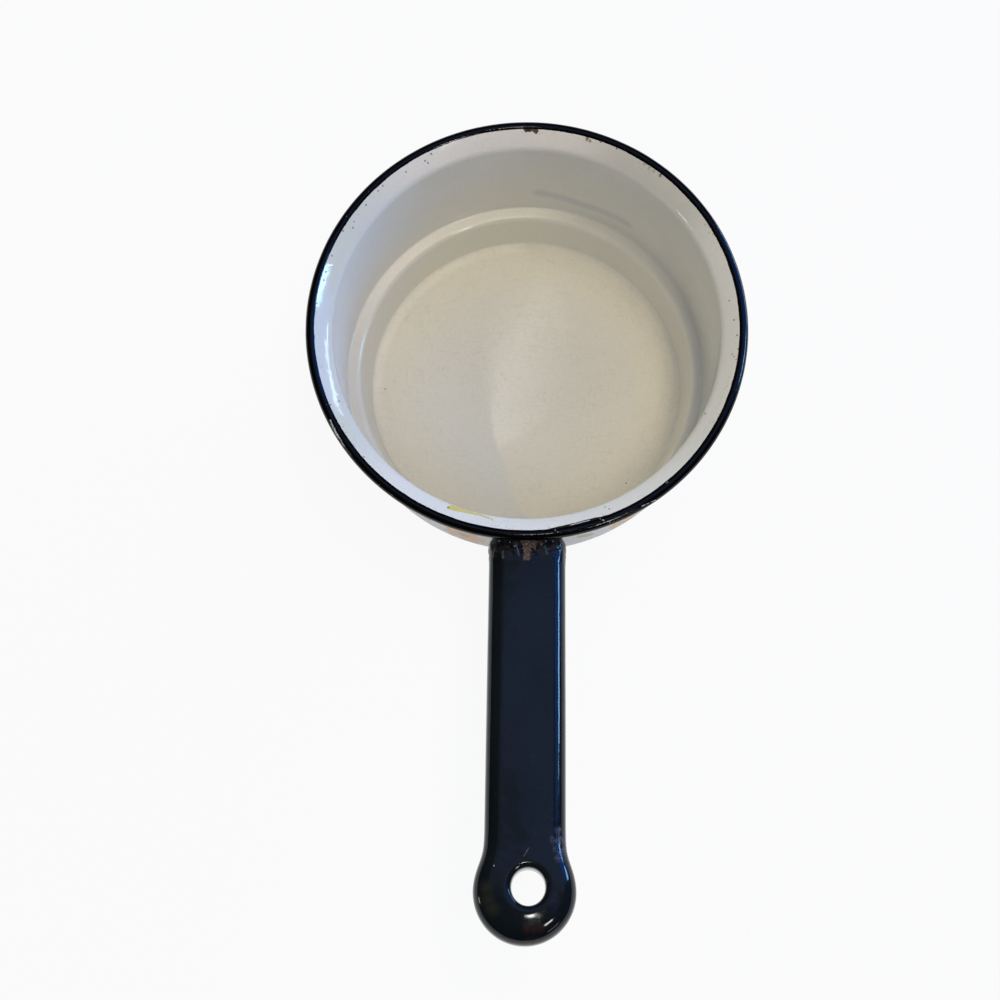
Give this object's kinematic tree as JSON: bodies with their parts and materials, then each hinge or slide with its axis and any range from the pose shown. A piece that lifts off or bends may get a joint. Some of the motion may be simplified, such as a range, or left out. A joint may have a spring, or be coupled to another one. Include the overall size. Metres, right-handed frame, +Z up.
{
  "type": "double boiler insert pan",
  "caption": "Upper pan of an enamelled steel double boiler: stepped vessel with a flared lip, black rolled rim and a hollow black handle with a hanging hole.",
  "frame": {"origin": "on the pan's axis, at the flat underside of its base", "axes": "+Z up along the pan's axis, the handle points along -Y, +X to the right seen from the handle's end"},
  "size_m": [0.18, 0.3333, 0.0889],
  "materials": {
    "white_enamel": "glossy vitreous enamel, cream white",
    "black_rim": "glossy black vitreous enamel",
    "handle_enamel": "glossy navy-black vitreous enamel",
    "handle_under": "black vitreous enamel, duller underneath",
    "bracket_steel": "thinly coated black steel inside the handle",
    "weld_enamel": "lumpy weld under black enamel"
  },
  "bodies": {
    "root": {"pan_body": "white_enamel", "rim_bead": "black_rim", "handle_top": "handle_enamel", "handle_bottom": "handle_under", "handle_bracket": "bracket_steel", "root_weld": "weld_enamel"}
  },
  "joints": []
}
